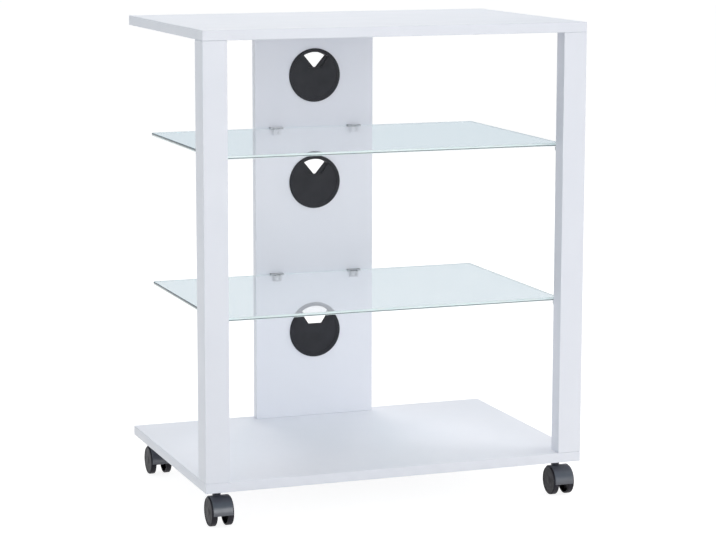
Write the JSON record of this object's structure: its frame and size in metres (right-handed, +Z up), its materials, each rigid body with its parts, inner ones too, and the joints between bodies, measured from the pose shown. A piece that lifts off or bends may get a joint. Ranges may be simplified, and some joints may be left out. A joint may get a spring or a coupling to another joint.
{
  "type": "tv stand",
  "caption": "White television stand on twin-wheel casters: front posts, a rear panel with round cable ports, glass shelves between the top and bottom boards.",
  "frame": {"origin": "on the floor, under the middle of the stand's bounding box", "axes": "+Z up from the floor to the top board, +X to the right seen from the front, +Y from the front to the rear panel"},
  "size_m": [0.6, 0.402, 0.727],
  "materials": {
    "white_board": "satin white lacquer",
    "clear_glass": "clear, polished",
    "beech": "bare",
    "zinc_steel": "zinc plated",
    "die_cast_zinc": "die cast",
    "nickel": "satin nickel",
    "soft_pad": "matt",
    "clear_plastic": "translucent",
    "black_plastic": "satin",
    "wheel_plastic": "satin"
  },
  "bodies": {
    "carcass": {"top_board": "white_board", "bottom_board": "white_board", "post_left": "white_board", "post_right": "white_board", "rear_panel": "white_board", "glass_shelf_upper": "clear_glass", "glass_shelf_lower": "clear_glass", "dowels": "beech", "cam_bolts": "zinc_steel", "cam_discs": "die_cast_zinc", "clip_upper_left": "nickel", "clip_upper_right": "nickel", "clip_lower_left": "nickel", "clip_lower_right": "nickel", "clip_pads": "soft_pad", "clip_screws": "zinc_steel", "shelf_pins": "zinc_steel", "pin_sleeves": "clear_plastic", "port_liner_top": "black_plastic", "port_liner_middle": "black_plastic", "port_liner_bottom": "black_plastic", "port_cap_top": "black_plastic", "port_cap_middle": "black_plastic", "port_cap_bottom": "black_plastic", "port_washers": "zinc_steel", "caster_sockets": "black_plastic"},
    "shutter_top": {"port_shutter_top": "black_plastic"},
    "shutter_middle": {"port_shutter_middle": "black_plastic"},
    "shutter_bottom": {"port_shutter_bottom": "black_plastic"},
    "swivel_front_left": {"stem_front_left": "zinc_steel", "hood_front_left": "black_plastic", "axle_front_left": "zinc_steel"},
    "outer_roller_front_left": {"wheel_outer_front_left": "wheel_plastic"},
    "inner_roller_front_left": {"wheel_inner_front_left": "wheel_plastic"},
    "swivel_front_right": {"stem_front_right": "zinc_steel", "hood_front_right": "black_plastic", "axle_front_right": "zinc_steel"},
    "outer_roller_front_right": {"wheel_outer_front_right": "wheel_plastic"},
    "inner_roller_front_right": {"wheel_inner_front_right": "wheel_plastic"},
    "swivel_rear_left": {"stem_rear_left": "zinc_steel", "hood_rear_left": "black_plastic", "axle_rear_left": "zinc_steel"},
    "outer_roller_rear_left": {"wheel_outer_rear_left": "wheel_plastic"},
    "inner_roller_rear_left": {"wheel_inner_rear_left": "wheel_plastic"},
    "swivel_rear_right": {"stem_rear_right": "zinc_steel", "hood_rear_right": "black_plastic", "axle_rear_right": "zinc_steel"},
    "outer_roller_rear_right": {"wheel_outer_rear_right": "wheel_plastic"},
    "inner_roller_rear_right": {"wheel_inner_rear_right": "wheel_plastic"}
  },
  "joints": [
    {"name": "shutter_turn_top", "type": "hinge", "parent": "carcass", "child": "shutter_top", "pos_m": [0, 0.18, 0.627], "axis": [0, 1, 0], "range_deg": [-90, 90]},
    {"name": "shutter_turn_middle", "type": "hinge", "parent": "carcass", "child": "shutter_middle", "pos_m": [0, 0.18, 0.4545], "axis": [0, 1, 0], "range_deg": [-90, 90]},
    {"name": "shutter_turn_bottom", "type": "hinge", "parent": "carcass", "child": "shutter_bottom", "pos_m": [0, 0.18, 0.2095], "axis": [0, 1, 0], "range_deg": [-180, 0]},
    {"name": "caster_swivel_front_left", "type": "hinge", "parent": "carcass", "child": "swivel_front_left", "pos_m": [-0.2737, -0.165, 0.054], "axis": [0, 0, 1], "continuous": true},
    {"name": "outer_wheel_roll_front_left", "type": "hinge", "parent": "swivel_front_left", "child": "outer_roller_front_left", "pos_m": [-0.2863, -0.1777, 0.022], "axis": [1, 0, 0], "continuous": true},
    {"name": "inner_wheel_roll_front_left", "type": "hinge", "parent": "swivel_front_left", "child": "inner_roller_front_left", "pos_m": [-0.2611, -0.1777, 0.022], "axis": [1, 0, 0], "continuous": true},
    {"name": "caster_swivel_front_right", "type": "hinge", "parent": "carcass", "child": "swivel_front_right", "pos_m": [0.2737, -0.165, 0.054], "axis": [0, 0, 1], "continuous": true},
    {"name": "outer_wheel_roll_front_right", "type": "hinge", "parent": "swivel_front_right", "child": "outer_roller_front_right", "pos_m": [0.2863, -0.1777, 0.022], "axis": [1, 0, 0], "continuous": true},
    {"name": "inner_wheel_roll_front_right", "type": "hinge", "parent": "swivel_front_right", "child": "inner_roller_front_right", "pos_m": [0.2611, -0.1777, 0.022], "axis": [1, 0, 0], "continuous": true},
    {"name": "caster_swivel_rear_left", "type": "hinge", "parent": "carcass", "child": "swivel_rear_left", "pos_m": [-0.2737, 0.167, 0.054], "axis": [0, 0, 1], "continuous": true},
    {"name": "outer_wheel_roll_rear_left", "type": "hinge", "parent": "swivel_rear_left", "child": "outer_roller_rear_left", "pos_m": [-0.2863, 0.1543, 0.022], "axis": [1, 0, 0], "continuous": true},
    {"name": "inner_wheel_roll_rear_left", "type": "hinge", "parent": "swivel_rear_left", "child": "inner_roller_rear_left", "pos_m": [-0.2611, 0.1543, 0.022], "axis": [1, 0, 0], "continuous": true},
    {"name": "caster_swivel_rear_right", "type": "hinge", "parent": "carcass", "child": "swivel_rear_right", "pos_m": [0.2737, 0.167, 0.054], "axis": [0, 0, 1], "continuous": true},
    {"name": "outer_wheel_roll_rear_right", "type": "hinge", "parent": "swivel_rear_right", "child": "outer_roller_rear_right", "pos_m": [0.2863, 0.1543, 0.022], "axis": [1, 0, 0], "continuous": true},
    {"name": "inner_wheel_roll_rear_right", "type": "hinge", "parent": "swivel_rear_right", "child": "inner_roller_rear_right", "pos_m": [0.2611, 0.1543, 0.022], "axis": [1, 0, 0], "continuous": true}
  ]
}
